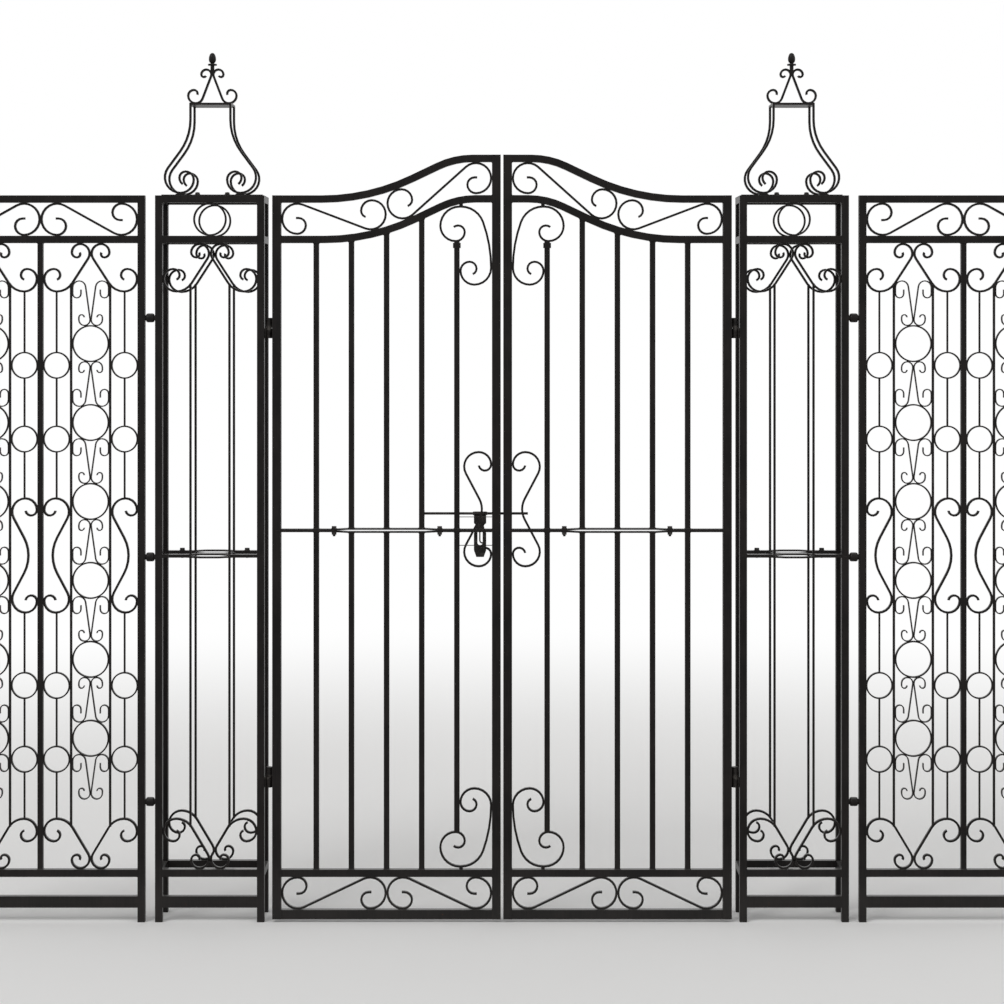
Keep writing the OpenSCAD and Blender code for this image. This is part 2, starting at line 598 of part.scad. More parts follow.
// A guide block behind a bar, x from x0 to x1, standing on the bar's back face y0.
module guide(x0, x1, y0) difference() {
    translate([x0, y0, bolt_z - guide_h / 2]) cube([x1 - x0, guide_back - y0, guide_h]);
    translate([x0 - 1, bolt_y, bolt_z]) rotate([0, 90, 0]) cylinder(d = bolt_d + 2 * run_clear, h = x1 - x0 + 2);
}
module bolt_guides() {
    x = bar_x(leaf_bars - 1);
    guide(x - bar / 2, x + bar / 2, bar / 2);
    guide(leaf_in + 2, leaf_in + leaf_tube - 2, leaf_tube / 2);
}
module rod() {
    translate([-bolt_reach, bolt_y, bolt_z]) rotate([0, 90, 0]) cylinder(d = bolt_d, h = bolt_len);
    for (s = [-1, 1])
        translate([hasp_x + s * (hasp_w / 2 + run_clear + 0.25) - (s < 0 ? 2.5 : 0), bolt_y, bolt_z])
        rotate([0, 90, 0]) cylinder(d = bolt_d + 3, h = 2.5);
}
// Half widths of the hasp's plate against the distance below its barrel's middle.
hasp_block = 31;
hasp_neck = 36.7;
hasp_shoulder = 54.6;
hasp_taper = 101.3;
hasp_neck_half = 11;
hasp_tip_half = 10.3;
hasp_slot_top = 46;
hasp_slot_low = 80.4;
function hasp_side(k) = [[k * hasp_w / 2, 0], [k * hasp_w / 2, -hasp_block + 4],
    [k * hasp_neck_half, -hasp_block - 1], [k * hasp_neck_half, -hasp_neck], [k * hasp_w / 2, -hasp_shoulder],
    [k * hasp_w / 2, -hasp_taper], [k * hasp_tip_half, -hasp_len]];
module hasp_plate() translate([hasp_x, bolt_y, bolt_z]) {
    w = hasp_w / 2;
    difference() {
        union() {
            flat_piece(hasp_t) polygon(concat(hasp_side(-1), reversed(hasp_side(1))));
            translate([-w, 0, 0]) rotate([0, 90, 0]) cylinder(d = bolt_d + 3.8, h = hasp_w, $fn = 32);
        }
        translate([-w - 1, 0, 0]) rotate([0, 90, 0]) cylinder(d = bolt_d + 2 * run_clear, h = hasp_w + 2);
        flat_piece(hasp_t + 2) translate([-hasp_slot_w / 2, -hasp_slot_low])
            square([hasp_slot_w, hasp_slot_low - hasp_slot_top]);
        flat_piece(hasp_t + 2) translate([0, -hasp_slot_low]) circle(d = hasp_slot_w, $fn = 32);
    }
}
// The hook under the leaf's joint, behind the lyre scroll.
module staple() {
    y = rail / 2 - 2;
    translate([hasp_x + 0.6, y, leaf_joint_z - joint_strip]) flat_piece(4)
        strip_of(concat([[0, 0, 270]], trail([0, 0, 270], [[24, 0], [7, -150]])), 4);
}
// Two thin rods over the lock, from the back of the last bar to the meeting stile.
module guard_rods() for (z = [bolt_z - 9, leaf_joint_z - 42])
    translate([leaf_in + leaf_tube, bar / 2, z - guard_t / 2])
        cube([bar_x(leaf_bars) + bar / 2 - leaf_in - leaf_tube, guard_t, guard_t]);

color(iron) left_side() leaf_top();  // left_leaf_top
color(iron) left_side() leaf_base();  // left_leaf_base
color(iron_light) left_side() leaf_hinges();  // left_leaf_hinges
color(iron) right_side() leaf_top();  // right_leaf_top
color(iron) right_side() leaf_base();  // right_leaf_base
color(iron_light) right_side() leaf_hinges();  // right_leaf_hinges
color(iron) left_side() front_frame() pillar_top();  // left_pillar_front_top
color(iron) left_side() front_frame() pillar_base(true);  // left_pillar_front_base
color(iron) left_side() back_frame() pillar_top();  // left_pillar_back_top
color(iron) left_side() back_frame() pillar_base(false);  // left_pillar_back_base
color(iron_light) left_side() cross_rails();  // left_pillar_cross_rails
color(iron_light) left_side() finial();  // left_pillar_finial
color(steel) left_side() hinge_pins();  // left_hinge_pins
color(iron) right_side() front_frame() pillar_top();  // right_pillar_front_top
color(iron) right_side() front_frame() pillar_base(true);  // right_pillar_front_base
color(iron) right_side() back_frame() pillar_top();  // right_pillar_back_top
color(iron) right_side() back_frame() pillar_base(false);  // right_pillar_back_base
color(iron_light) right_side() cross_rails();  // right_pillar_cross_rails
color(iron_light) right_side() finial();  // right_pillar_finial
color(steel) right_side() hinge_pins();  // right_hinge_pins
color(iron) left_side() fence();  // left_fence_panel
color(iron) right_side() fence();  // right_fence_panel
color(iron_light) left_side() spacers();  // left_fence_spacers
color(iron_light) right_side() spacers();  // right_fence_spacers
color(iron_light) left_side() bolt_guides();
color(steel) left_side() guard_rods();
color(steel) left_side() rod();  // slide_bolt
color(steel) left_side() hasp_plate();  // hasp
color(iron_light) left_side() staple();  // hasp_staple
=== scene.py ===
import math

import bmesh
import bpy
from mathutils import Matrix


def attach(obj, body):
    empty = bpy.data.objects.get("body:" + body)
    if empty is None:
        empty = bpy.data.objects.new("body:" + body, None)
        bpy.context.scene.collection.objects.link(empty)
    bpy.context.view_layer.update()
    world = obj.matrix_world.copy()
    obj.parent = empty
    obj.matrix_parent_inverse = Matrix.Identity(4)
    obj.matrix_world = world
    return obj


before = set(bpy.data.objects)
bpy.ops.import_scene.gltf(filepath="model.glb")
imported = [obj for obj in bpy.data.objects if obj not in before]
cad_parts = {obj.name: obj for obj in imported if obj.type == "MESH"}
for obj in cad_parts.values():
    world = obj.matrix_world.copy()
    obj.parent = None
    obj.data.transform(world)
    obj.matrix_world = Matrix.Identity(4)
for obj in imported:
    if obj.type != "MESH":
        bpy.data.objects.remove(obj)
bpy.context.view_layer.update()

MM = 0.001

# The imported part, in metres. Heights are from the ground, depths from the middle of the front
# frames. Distances along the gate are from its middle, and both sides share them.
GATE_MIDDLE = 0.663
BACK_FRAME = 0.12
SIDES = (("left", -1), ("right", 1))

# Sections of the square tubes and bars.
LEAF_TUBE = 0.024
POST = 0.02
RAIL = 0.02
BAR = 0.015
LEAF_BARS = 5

# The side of each frame that is nearer the gate's middle, and the one that is farther from it.
LEAF = (0.0035, 0.631)
PILLAR = (0.653, 0.953)
FENCE = (0.981, 1.5565)
PILLAR_MIDDLE = (PILLAR[0] + PILLAR[1]) / 2
FENCE_MIDDLE = (FENCE[0] + FENCE[1]) / 2

# Tops of the rails that every frame has, and underside and top of the foot rails.
TOP = 1.9965
HEADER = 1.8855
LOW_RAIL = 0.1445
LEAF_FOOT = (0.0085, 0.034)
FRAME_FOOT = (0.04, 0.0715)

# The swept top of a leaf rises from the level by a hollow arc, a straight run and a crown arc.
# The header's sweep lies a little nearer the gate's middle than the top's.
RISE = 0.1117
SWEEP_START = 0.112
SWEEP_ANGLE = math.radians(25.5)
HOLLOW = 0.575
CROWN = 0.22
HEADER_SHIFT = 0.008

# Bolted joints of two strips. The strips of a leaf's joint bow apart between its bolts. The
# bolts of a pillar and the nuts of its finial are placed from the pillar's middle.
STRIP = 0.0045
LEAF_JOINT = 1.0758
LEAF_BOLTS = (0.1713, 0.4617)
JOINT_BOW = 0.002
PILLAR_JOINT = 1.0057
PILLAR_BOLT = 0.0906
FINIAL_STRIP = 0.005
FINIAL_NUT = 0.0413

# Heights where the two halves of a hinge turn on each other.
HINGES = (1.632, 0.397)

# Fasteners: radii over the corners, heights, and how far a bolt reaches below its joint.
WASHER = 1.4 * MM
WASHER_RIM = 0.5 * MM
BOLT_WASHER = 8 * MM
BOLT_HEXAGON = 7.3 * MM
BOLT_HEAD = 5.4 * MM
BOLT_NUT = 5.8 * MM
BOLT_RADIUS = 4 * MM
BOLT_REACH = 12 * MM
THREAD_PITCH = 1.25 * MM
THREAD_TURNS = 4
THREAD_ROOT = 0.8
CAP_WASHER = 8.2 * MM
CAP_HEXAGON = 7 * MM
CAP_NUT = 4.6 * MM
DOME = 5.4 * MM
DOME_FOOT = 5.6 * MM
DOME_SUNK = 0.3

# Welds: the leg of a bead's fillet, how deep it sinks into the metal under it and into the
# bar, and how far it stays off a frame's outer edge. The shares are of the metal's depth.
BEAD_LEG = 2.6 * MM
BEAD_SUNK = 0.4 * MM
BEAD_IN_BAR = 0.3 * MM
BEAD_RIPPLE = 0.7 * MM
BEAD_FLUSH = 3.5 * MM
BAR_BEAD_SHARE = 0.95
RAIL_BEAD_SHARE = 0.96

# Edges: how far they are rounded, and from which angle they are edges.
IRON_EASE = 0.9 * MM
STEEL_EASE = 0.5 * MM
EASED_FROM = math.radians(40)
SHARP_FROM = math.radians(38)
PIECE_SHARP_FROM = math.radians(35)
MERGED_WITHIN = 0.02 * MM

# A face is level when its normal is this upright.
UPRIGHT = 0.9

# Colours.
PAINT_DARK = (0.0036, 0.0029, 0.0027)
PAINT_LIGHT = (0.0105, 0.0084, 0.0077)
PAINT_THIN = (0.062, 0.051, 0.045)
# Light grey: a dusty film near the ground, and a painted highlight on what faces up.
DUST_AND_SHEEN = (0.3, 0.295, 0.285)
RUST_DARK = (0.035, 0.015, 0.009)
RUST_BRIGHT = (0.12, 0.048, 0.021)
BARE_IRON = (0.075, 0.068, 0.062)
STEEL_DARK = (0.02, 0.018, 0.017)
STEEL_RUBBED = (0.14, 0.13, 0.12)
STEEL_WEATHERED = (0.085, 0.08, 0.075)
FLOOR_PALE = (0.9, 0.895, 0.885, 1)
WHITE = (1, 1, 1, 1)

# Stage. A lamp is its name, turn in degrees, strength and spread in degrees.
FLOOR_SIZE = 160
FLOOR_FADE = (2.2, 7.0)
LIGHT_ON_GATE = 0.5
LAMPS = (("key", (48, 0, -38), 0.95, 24), ("fill", (62, 0, 52), 0.45, 50))
CAMERA_PLACE = (GATE_MIDDLE, -7.15, 1.6506)
CAMERA_SENSOR = 36
CAMERA_LENS = 93.23
CAMERA_SHIFT = -0.18
CAMERA_REACH = 200


# Materials


class Wire:
    """An output of a node; arithmetic on wires and numbers adds Math nodes."""

    def __init__(self, nodes, socket):
        self.nodes = nodes
        self.socket = socket

    def __add__(self, other):
        return self.nodes.math("ADD", self, other)

    def __radd__(self, other):
        return self.nodes.math("ADD", other, self)

    def __sub__(self, other):
        return self.nodes.math("SUBTRACT", self, other)

    def __rsub__(self, other):
        return self.nodes.math("SUBTRACT", other, self)

    def __mul__(self, other):
        return self.nodes.math("MULTIPLY", self, other)

    def __rmul__(self, other):
        return self.nodes.math("MULTIPLY", other, self)

    def clamped(self):
        return self.nodes.math("ADD", self, 0.0, clamp=True)

    def between(self, low, high):
        """0 below low, 1 above high and a smooth rise between."""
        settings = {"interpolation_type": "SMOOTHSTEP"}
        values = {"Value": self, "From Min": low, "From Max": high}
        return self.nodes.add("ShaderNodeMapRange", settings, values)


class Nodes:
    """A node tree. Every node comes from add(), and every socket is set or linked by plug()."""

    def __init__(self, tree):
        self.tree = tree

    def plug(self, value, socket):
        if isinstance(value, Wire):
            self.tree.links.new(value.socket, socket)
        else:
            socket.default_value = value

    def add(self, kind, settings=None, values=(), output=0):
        """A node of a kind. Values go by a socket's name or number, or in the sockets' order."""
        made = self.tree.nodes.new(kind)
        for name, setting in (settings or {}).items():
            setattr(made, name, setting)
        pairs = values.items() if isinstance(values, dict) else enumerate(values)
        for key, value in pairs:
            self.plug(value, made.inputs[key])
        return Wire(self, made.outputs[output]) if made.outputs else None

    def math(self, operation, *values, clamp=False):
        settings = {"operation": operation, "use_clamp": clamp}
        return self.add("ShaderNodeMath", settings, values)


class Finish(Nodes):
    """A material, whose shader's sockets are set with surface()."""

    def __init__(self, name):
        self.material = bpy.data.materials.new(name)
        self.material.use_nodes = True
        super().__init__(self.material.node_tree)
        self.shader = self.tree.nodes["Principled BSDF"]
        self.place = self.add("ShaderNodeTexCoord", output="Object")
        self.facing = self.add("ShaderNodeNewGeometry", output="Normal")

    def noise(self, scale, detail=2.0, roughness=0.5, stretch=(1, 1, 1)):
        where = self.add("ShaderNodeMapping", None, {"Vector": self.place, "Scale": stretch})
        values = {"Vector": where, "Scale": scale, "Detail": detail, "Roughness": roughness}
        return self.add("ShaderNodeTexNoise", None, values)

    def axis(self, vector, letter):
        return self.add("ShaderNodeSeparateXYZ", None, (vector,), output=letter)

    def colour(self, share, low, high):
        """The colour low where share is 0 and high where it is 1; each may be a wire.

        On this node the factor is socket 0, the colours are 6 and 7 and the result is output 2.
        """
        low, high = [end if isinstance(end, Wire) else (*end, 1.0) for end in (low, high)]
        values = {0: share, 6: low, 7: high}
        return self.add("ShaderNodeMix", {"data_type": "RGBA"}, values, output=2)

    def bump(self, height, strength, distance):
        values = {"Strength": strength, "Distance": distance, "Height": height}
        return self.add("ShaderNodeBump", None, values)

    def edges(self, radius):
        """1 along the sharp edges within the radius and 0 on the flats and hollows."""
        soft = self.add("ShaderNodeBevel", {"samples": 4}, {"Radius": radius})
        dot = {"operation": "DOT_PRODUCT"}
        same = self.add("ShaderNodeVectorMath", dot, (soft, self.facing), output="Value")
        return 1 - same.between(0.75, 0.98)

    def surface(self, **sockets):
        for name, value in sockets.items():
            self.plug(value, self.shader.inputs[name.replace("_", " ")])


def black_paint(name="black_paint", rubbed_at=()):
    """Satin black paint on wrought iron: brush marks, a little rust, a dusty tone near the
    ground, and a lighter tone on what faces up that is partly dusty and partly a painted
    highlight.

    Round each height in rubbed_at, where a hinge turns, it is worn to the iron.
    """
    f = Finish(name)
    mottle = f.noise(9, detail=5, roughness=0.6)
    peel = f.noise(240, detail=2)
    brush = f.noise(1, detail=2, stretch=(420, 420, 18))
    spots = f.noise(85, detail=6, roughness=0.66)
    top_patches = f.noise(60, detail=6, roughness=0.6).between(0.3, 0.7)
    chipped = f.noise(130, detail=4, roughness=0.65).between(0.36, 0.6)
    height = f.axis(f.place, "Z")
    low = 1 - height.between(0.0, 0.25)
    # Faces that look up; further down they are painted lighter as a highlight, partly dusty.
    up = f.axis(f.facing, "Z").between(0.5, 0.95)

    coats = (0.6 * mottle + 0.4 * brush).between(0.38, 0.62)
    thin = f.edges(1.4 * MM) * chipped
    dust_and_sheen = (up * (0.6 + 0.4 * top_patches) + 0.15 * low).clamped()
    rust = (spots + 0.03 * low).between(0.705, 0.75)

    colour = f.colour(coats, PAINT_DARK, PAINT_LIGHT)
    colour = f.colour(0.75 * thin, colour, PAINT_THIN)
    # The light grey goes on as a painted highlight on upward faces and as dirt near the ground.
    colour = f.colour(0.26 * dust_and_sheen, colour, DUST_AND_SHEEN)
    rusty = f.colour(f.noise(300, detail=3), RUST_DARK, RUST_BRIGHT)
    colour = f.colour(0.7 * rust, colour, rusty)
    rough = 0.3 + 0.12 * mottle + 0.06 * dust_and_sheen + 0.3 * rust - 0.1 * up
    if rubbed_at:
        away = [f.math("ABSOLUTE", height - turns_at) for turns_at in rubbed_at]
        near = sum(1 - distance.between(2 * MM, 9 * MM) for distance in away)
        patchy = f.noise(160, detail=4, roughness=0.6).between(0.35, 0.6)
        worn = ((near + 0.2) * patchy).clamped()
        colour = f.colour(0.8 * worn, colour, BARE_IRON)
        rough = rough - 0.05 * worn
    f.surface(
        Base_Color=colour,
        Roughness=rough.clamped(),
        Specular_IOR_Level=0.15,
        Normal=f.bump(0.4 * peel + 0.5 * brush + 0.6 * rust, 0.4, 0.2 * MM),
    )
    return f.material


def worn_steel():
    """Blackened steel of the lock, rubbed brighter along its edges and where it slides."""
    f = Finish("worn_steel")
    streak = f.noise(1, detail=4, stretch=(30, 600, 600))
    cloud = f.noise(34, detail=3)
    fine = f.noise(420, detail=3)
    slid = (cloud + 0.3 * streak).between(0.6, 1.0)
    rubbed = (0.75 * f.edges(1.5 * MM) + 0.5 * slid).clamped()
    f.surface(
        Base_Color=f.colour(rubbed, STEEL_DARK, STEEL_RUBBED),
        Metallic=0.8,
        Roughness=(0.44 - 0.1 * rubbed + 0.14 * streak + 0.06 * fine).clamped(),
        Normal=f.bump(0.6 * streak + 0.4 * fine, 0.3, 0.12 * MM),
    )
    return f.material


def weathered_steel():
    """Plated steel of the bolts and nuts, dark and dull with weather."""
    f = Finish("weathered_steel")
    cloud = f.noise(120, detail=5, roughness=0.6)
    f.surface(
        Base_Color=f.colour(cloud.between(0.35, 0.7), STEEL_DARK, STEEL_WEATHERED),
        Metallic=0.85,
        Roughness=(0.4 + 0.2 * cloud).clamped(),
        Normal=f.bump(cloud, 0.2, 0.2 * MM),
    )
    return f.material


# Modelling


def begin(name, primitive, **sizes):
    """Adds one primitive at its size and place and opens it for editing."""
    bpy.ops.object.select_all(action="DESELECT")
    primitive(**sizes)
    piece = bpy.context.object
    piece.name = name
    bpy.ops.object.mode_set(mode="EDIT")
    return piece


def pick_faces(test):
    """Selects the faces of the open piece whose middle and normal pass the test."""
    bpy.ops.mesh.select_mode(type="FACE")
    bpy.ops.mesh.select_all(action="DESELECT")
    mesh = bmesh.from_edit_mesh(bpy.context.object.data)
    for face in mesh.faces:
        face.select_set(test(face.calc_center_median(), face.normal))
    bmesh.update_edit_mesh(bpy.context.object.data)


def is_top(middle, normal):
    return normal.z > UPRIGHT


def is_level(middle, normal):
    return abs(normal.z) > UPRIGHT


def is_side(middle, normal):
    return abs(normal.z) < UPRIGHT


def finished(piece, material):
    """Closes a piece: place and turn go into its mesh, edges are smoothed by angle."""
    bpy.ops.object.mode_set(mode="OBJECT")
    bpy.ops.object.transform_apply(location=True, rotation=True, scale=True)
    bpy.ops.object.shade_smooth_by_angle(angle=PIECE_SHARP_FROM)
    piece.data.materials.clear()
    piece.data.materials.append(material)
    return piece


def joined(name, pieces):
    """Makes one piece of several."""
    bpy.ops.object.select_all(action="DESELECT")
    for piece in pieces:
        piece.select_set(True)
    bpy.context.view_layer.objects.active = pieces[0]
    bpy.ops.object.join()
    pieces[0].name = name
    return pieces[0]


def copied(piece, name, place):
    """A copy with its own mesh, set in its place by a matrix."""
    twin = piece.copy()
    twin.data = piece.data.copy()
    twin.name = name
    twin.data.transform(place)
    bpy.context.scene.collection.objects.link(twin)
    return twin


# Fasteners


def washer(name, radius, foot, material):
    """A flat washer with a rim, standing at height foot."""
    piece = begin(
        name,
        bpy.ops.mesh.primitive_cylinder_add,
        vertices=32,
        radius=radius,
        depth=WASHER,
        location=(0, 0, foot + WASHER / 2),
    )
    pick_faces(is_level)
    bpy.ops.mesh.inset(thickness=WASHER_RIM)
    return finished(piece, material)


def hexagon(name, radius, height, foot, material):
    """A bolt head or nut: a hexagonal block with dished ends, standing at height foot."""
    piece = begin(
        name,
        bpy.ops.mesh.primitive_cylinder_add,
        vertices=6,
        radius=radius,
        depth=height,
        location=(0, 0, foot + height / 2),
    )
    pick_faces(is_level)
    bpy.ops.mesh.inset(thickness=radius * 0.1)
    bpy.ops.mesh.inset(thickness=radius * 0.03, depth=-radius * 0.02)
    return finished(piece, material)


def threaded(name, foot, material):
    """The end of a bolt: a rod whose side is drawn in at each turn of its thread."""
    piece = begin(
        name,
        bpy.ops.mesh.primitive_cylinder_add,
        vertices=20,
        radius=BOLT_RADIUS * THREAD_ROOT,
        depth=THREAD_PITCH / 2,
        location=(0, 0, foot + THREAD_PITCH / 4),
    )
    for _ in range(THREAD_TURNS):
        pick_faces(is_top)
        for grow in (1 / THREAD_ROOT, THREAD_ROOT):
            move = {"value": (0, 0, THREAD_PITCH / 2)}
            bpy.ops.mesh.extrude_region_move(TRANSFORM_OT_translate=move)
            bpy.ops.transform.resize(value=(grow, grow, 1))
    return finished(piece, material)


def joint_bolt(material):
    """The bolt through two flat strips: head and washer above, nut and thread below."""
    washers = [
        washer("upper_washer", BOLT_WASHER, STRIP, material),
        washer("lower_washer", BOLT_WASHER, -STRIP - WASHER, material),
    ]
    head = hexagon("head", BOLT_HEXAGON, BOLT_HEAD, STRIP + WASHER, material)
    nut = hexagon("nut", BOLT_HEXAGON, BOLT_NUT, -STRIP - WASHER - BOLT_NUT, material)
    end = threaded("end", -STRIP - BOLT_REACH, material)
    return joined("joint_bolt", [head, nut, end, *washers])


def dome_nut(material):
    """A cap nut on its washer: a hexagon with a turned dome, standing at z = 0."""
    foot = washer("washer", CAP_WASHER, 0, material)
    nut = hexagon("nut", CAP_HEXAGON, CAP_NUT, WASHER, material)
    dome = begin(
        "dome",
        bpy.ops.mesh.primitive_uv_sphere_add,
        segments=24,
        ring_count=12,
        radius=DOME,
        location=(0, 0, DOME_FOOT),
    )
    pick_faces(lambda middle, normal: middle.z < DOME_FOOT)
    bpy.ops.transform.resize(value=(1, 1, DOME_SUNK), center_override=(0, 0, DOME_FOOT))
    finished(dome, material)
    return joined("dome_nut", [nut, dome, foot])


def fastened(pattern, name, place, body):
    """Sets a copy of a fastener in its place and lets it ride on a body."""
    piece = copied(pattern, name, Matrix.Translation(place))
    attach(piece, body)


def place_joint_bolts(material):
    """Two bolts in the joint of each leaf and two in the joint of each back frame."""
    pattern = joint_bolt(material)
    for side, sign in SIDES:
        for number, distance in enumerate(LEAF_BOLTS):
            place = (GATE_MIDDLE + sign * distance, 0, LEAF_JOINT)
            fastened(pattern, f"{side}_leaf_bolt_{number}", place, f"{side}_leaf")
        for number, distance in enumerate((-PILLAR_BOLT, PILLAR_BOLT)):
            x = GATE_MIDDLE + sign * (PILLAR_MIDDLE + distance)
            place = (x, BACK_FRAME, PILLAR_JOINT)
            fastened(pattern, f"{side}_pillar_bolt_{number}", place, "posts")
    bpy.data.objects.remove(pattern)


def place_dome_nuts(material):
    """Two cap nuts on the strip under each finial."""
    pattern = dome_nut(material)
    for side, sign in SIDES:
        for number, distance in enumerate((-FINIAL_NUT, FINIAL_NUT)):
            x = GATE_MIDDLE + sign * PILLAR_MIDDLE + distance
            place = (x, BACK_FRAME / 2, TOP + FINIAL_STRIP)
            fastened(pattern, f"{side}_finial_nut_{number}", place, "posts")
    bpy.data.objects.remove(pattern)


# Welds


def weld_bead(material):
    """The fillet of weld round the end of a square bar that stands at z = 0.

    It leans in from its foot to the bar and is rippled along its sides.
    """
    reach = BAR / 2 + BEAD_LEG
    bead = begin(
        "weld_bead",
        bpy.ops.mesh.primitive_cube_add,
        size=1,
        scale=(2 * reach, 2 * reach, BEAD_LEG + BEAD_SUNK),
        location=(0, 0, (BEAD_LEG - BEAD_SUNK) / 2),
    )
    pick_faces(is_top)
    shrink = (BAR / 2 - BEAD_IN_BAR) / reach
    bpy.ops.transform.resize(value=(shrink, shrink, 1))
    pick_faces(is_side)
    bpy.ops.mesh.subdivide(number_cuts=6)
    bpy.ops.transform.vertex_random(offset=BEAD_RIPPLE, uniform=0, normal=0.7, seed=7)
    bpy.ops.mesh.vertices_smooth(factor=0.4, repeat=1)
    bpy.ops.mesh.select_all(action="SELECT")
    bpy.ops.mesh.normals_make_consistent(inside=False)
    return finished(bead, material)


def sweep(x):
    """Rise and slope of a leaf's swept top at the distance x from the gate's middle."""
    sine, cosine = math.sin(SWEEP_ANGLE), math.cos(SWEEP_ANGLE)
    straight = (RISE - (HOLLOW + CROWN) * (1 - cosine)) / sine
    hollow_end = HOLLOW * sine
    straight_end = hollow_end + straight * cosine
    crown_end = straight_end + CROWN * sine
    run = LEAF[1] - LEAF_TUBE - SWEEP_START - x
    if run <= 0:
        return 0.0, 0.0
    if run < hollow_end:
        return HOLLOW - math.sqrt(HOLLOW**2 - run**2), math.asin(run / HOLLOW)
    if run < straight_end:
        rise = HOLLOW * (1 - cosine) + (run - hollow_end) * math.tan(SWEEP_ANGLE)
        return rise, SWEEP_ANGLE
    if run < crown_end:
        left = crown_end - run
        return RISE - CROWN + math.sqrt(CROWN**2 - left**2), math.asin(left / CROWN)
    return RISE, 0.0


def bar_foot(x, z, down=False, slope=0.0):
    """Where the end of a bar meets a rail under it, or above it when down is true."""
    turn = Matrix.Rotation(math.pi if down else 0.0, 4, "X")
    size = Matrix.Diagonal((1 / math.cos(slope), BAR_BEAD_SHARE, 1, 1))
    return Matrix.Translation((x, 0, z)) @ Matrix.Rotation(slope, 4, "Y") @ size @ turn


def rail_end(x, facing, bottom, top, y=0.0):
    """Where a rail meets a stile or post whose side at x faces along X by the sign facing.

    The fillet runs along the rail's top and underside; the faces of the joint are ground flush.
    """
    reach = BAR / 2 + BEAD_LEG
    turn = Matrix.Rotation(facing * math.pi / 2, 4, "Y")
    depth = RAIL_BEAD_SHARE * RAIL / 2 / reach
    height = ((top - bottom) / 2 + BEAD_LEG) / reach
    size = Matrix.Diagonal((1, depth, height, 1))
    return Matrix.Translation((x, y, (bottom + top) / 2)) @ size @ turn


def leaf_welds():
    """The feet of the bars and the ends of the rails of a leaf.

    The bar next to the meeting stile ends in the corner scrolls, so it only meets the joint.
    """
    inner, outer = LEAF[0] + LEAF_TUBE, LEAF[1] - LEAF_TUBE
    step = (outer - inner) / (LEAF_BARS + 1)
    places = []
    for number in range(1, LEAF_BARS + 1):
        x = outer - number * step
        strips = STRIP + (JOINT_BOW if LEAF_BOLTS[0] < x < LEAF_BOLTS[1] else 0.0)
        places.append(bar_foot(x, LEAF_JOINT + strips))
        places.append(bar_foot(x, LEAF_JOINT - strips, down=True))
        if number < LEAF_BARS:
            rise, slope = sweep(x + HEADER_SHIFT)
            under = HEADER - RAIL / 2 + rise - RAIL / 2 / math.cos(slope)
            places.append(bar_foot(x, LOW_RAIL))
            places.append(bar_foot(x, under, down=True, slope=slope))
    for x, facing, rise in ((inner, 1, RISE), (outer, -1, 0.0)):
        levels = (
            (LEAF_FOOT[0] + BEAD_FLUSH, LEAF_FOOT[1]),
            (LOW_RAIL - RAIL, LOW_RAIL),
            (HEADER + rise - RAIL, HEADER + rise),
            (TOP + rise - RAIL, TOP + rise - BEAD_FLUSH),
        )
        places += [rail_end(x, facing, bottom, top) for bottom, top in levels]
    return places


def frame_welds(inner, outer, y=0.0, foot_rail=True):
    """The ends of the rails between two posts whose outer sides are at inner and outer."""
    levels = [
        (LOW_RAIL - RAIL, LOW_RAIL),
        (HEADER - RAIL, HEADER),
        (TOP - RAIL, TOP - BEAD_FLUSH),
    ]
    if foot_rail:
        levels.append(FRAME_FOOT)
    return [
        rail_end(x, facing, bottom, top, y)
        for x, facing in ((inner + POST, 1), (outer - POST, -1))
        for bottom, top in levels
    ]


def place_welds(material):
    """The welds of each leaf, pillar and fence panel, each group joined to one piece."""
    pattern = weld_bead(material)
    groups = {
        "leaf": leaf_welds(),
        "pillar": [*frame_welds(*PILLAR), *frame_welds(*PILLAR, y=BACK_FRAME, foot_rail=False)],
        "fence": [
            *frame_welds(*FENCE),
            bar_foot(FENCE_MIDDLE, LOW_RAIL),
            bar_foot(FENCE_MIDDLE, HEADER - RAIL, down=True),
        ],
    }
    for side, sign in SIDES:
        mirror = Matrix.Translation((GATE_MIDDLE, 0, 0)) @ Matrix.Diagonal((sign, 1, 1, 1))
        for group, places in groups.items():
            beads = [copied(pattern, "bead", mirror @ place) for place in places]
            welds = joined(f"{side}_{group}_welds", beads)
            if sign < 0:
                bpy.ops.object.mode_set(mode="EDIT")
                bpy.ops.mesh.select_all(action="SELECT")
                bpy.ops.mesh.flip_normals()
                bpy.ops.object.mode_set(mode="OBJECT")
            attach(welds, f"{side}_leaf" if group == "leaf" else "posts")
    bpy.data.objects.remove(pattern)


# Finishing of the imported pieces


def smooth_by_angle():
    """Nodes of a modifier that shades smoothly across all but the sharp edges."""
    group = bpy.data.node_groups.new("smooth_by_angle", "GeometryNodeTree")
    for way in ("INPUT", "OUTPUT"):
        group.interface.new_socket("Mesh", in_out=way, socket_type="NodeSocketGeometry")
    nodes = Nodes(group)
    mesh = nodes.add("NodeGroupInput")
    angle = nodes.add("GeometryNodeInputMeshEdgeAngle", output="Unsigned Angle")
    steep = nodes.add("FunctionNodeCompare", {"operation": "GREATER_THAN"}, (angle, SHARP_FROM))
    values = {"Mesh": mesh, "Edge Sharpness": steep}
    shaded = nodes.add("GeometryNodeSetMeshNormal", {"mode": "SHARPNESS"}, values)
    nodes.add("NodeGroupOutput", None, (shaded,))
    return group


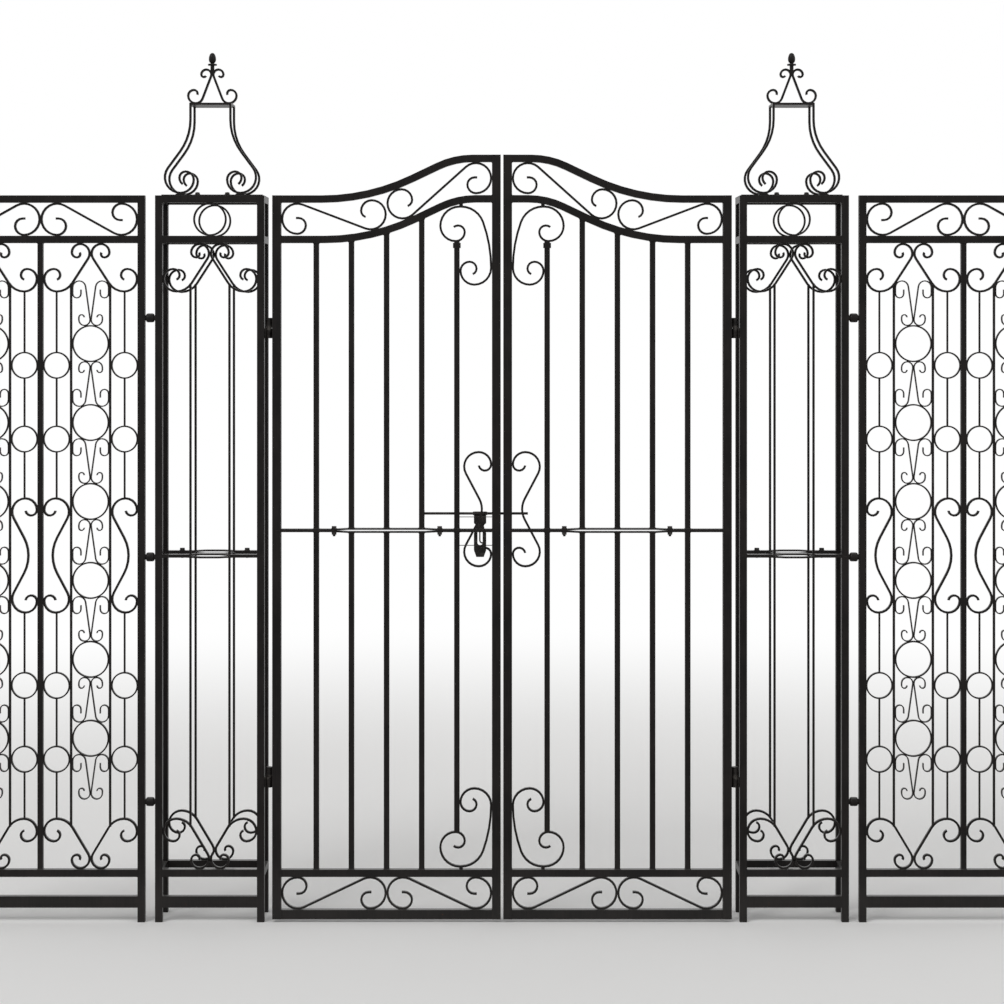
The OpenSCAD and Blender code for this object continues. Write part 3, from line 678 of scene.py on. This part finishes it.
def eased(node, width, smoothing):
    """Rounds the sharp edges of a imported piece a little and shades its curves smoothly."""
    weld = node.modifiers.new("weld", "WELD")
    weld.merge_threshold = MERGED_WITHIN
    bevel = node.modifiers.new("ease", "BEVEL")
    bevel.width = width
    bevel.segments = 2
    bevel.limit_method = "ANGLE"
    bevel.angle_limit = EASED_FROM
    bevel.use_clamp_overlap = True
    smooth = node.modifiers.new("smooth", "NODES")
    smooth.node_group = smoothing
    flats = node.modifiers.new("flats", "WEIGHTED_NORMAL")
    flats.keep_sharp = True
    flats.weight = 100


def finish_packed_pieces(paint):
    """Paints the ironwork, and gives the hinges and the lock their worn finishes."""
    hinge_paint = black_paint("worn_hinge_paint", rubbed_at=HINGES)
    lock_steel = worn_steel()
    smoothing = smooth_by_angle()
    for name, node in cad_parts.items():
        material, width = paint, IRON_EASE
        if name.endswith(("_leaf_hinges", "_hinge_pins")):
            material = hinge_paint
        if name in ("slide_bolt", "hasp", "guard_rods", "hasp_staple"):
            material, width = lock_steel, STEEL_EASE
        node.data.materials.clear()
        node.data.materials.append(material)
        eased(node, width, smoothing)


# Stage


def studio_light():
    """White where the world is seen, mirrored or looked at through, and dimmer on the gate."""
    world = bpy.data.worlds.new("studio")
    bpy.context.scene.world = world
    world.use_nodes = True
    nodes = Nodes(world.node_tree)
    camera, glossy, through = [
        nodes.add("ShaderNodeLightPath", output=f"Is {ray} Ray")
        for ray in ("Camera", "Glossy", "Transmission")
    ]
    seen = nodes.math("MAXIMUM", nodes.math("MAXIMUM", camera, glossy), through)
    background = nodes.tree.nodes["Background"]
    nodes.plug(WHITE, background.inputs["Color"])
    nodes.plug(LIGHT_ON_GATE + (1 - LIGHT_ON_GATE) * seen, background.inputs["Strength"])


def pale_floor():
    """A matt pale finish that turns white far from its middle, where the camera sees it."""
    f = Finish("pale_floor")
    f.surface(Base_Color=FLOOR_PALE, Roughness=0.95)
    away = f.add("ShaderNodeVectorMath", {"operation": "LENGTH"}, (f.place,), output="Value")
    seen = f.add("ShaderNodeLightPath", output="Is Camera Ray")
    pale = Wire(f, f.shader.outputs[0])
    white = f.add("ShaderNodeEmission", None, {"Color": WHITE})
    share = seen * away.between(*FLOOR_FADE)
    mixed = f.add("ShaderNodeMixShader", None, (share, pale, white))
    f.plug(mixed, f.tree.nodes["Material Output"].inputs["Surface"])
    return f.material


def lay_floor():
    bpy.ops.object.select_all(action="DESELECT")
    bpy.ops.mesh.primitive_plane_add(size=FLOOR_SIZE, location=(GATE_MIDDLE, 0, 0))
    floor = bpy.context.object
    floor.name = "floor"
    floor.data.materials.append(pale_floor())


def place_lamps():
    for name, turn, strength, spread in LAMPS:
        data = bpy.data.lights.new(name, "SUN")
        data.energy = strength
        data.angle = math.radians(spread)
        lamp = bpy.data.objects.new(name, data)
        lamp.rotation_euler = [math.radians(angle) for angle in turn]
        bpy.context.scene.collection.objects.link(lamp)


def place_camera():
    """A level camera square to the gate, with its picture shifted down to the ground."""
    data = bpy.data.cameras.new("camera")
    data.sensor_width = CAMERA_SENSOR
    data.lens = CAMERA_LENS
    data.shift_y = CAMERA_SHIFT
    data.clip_end = CAMERA_REACH
    camera = bpy.data.objects.new("camera", data)
    camera.location = CAMERA_PLACE
    camera.rotation_euler = (math.pi / 2, 0, 0)
    bpy.context.scene.collection.objects.link(camera)
    bpy.context.scene.camera = camera


studio_light()
lay_floor()
place_lamps()
place_camera()
bpy.context.scene.view_settings.view_transform = "Standard"

black = black_paint()
bolt_steel = weathered_steel()
finish_packed_pieces(black)
place_joint_bolts(bolt_steel)
place_dome_nuts(bolt_steel)
place_welds(black)
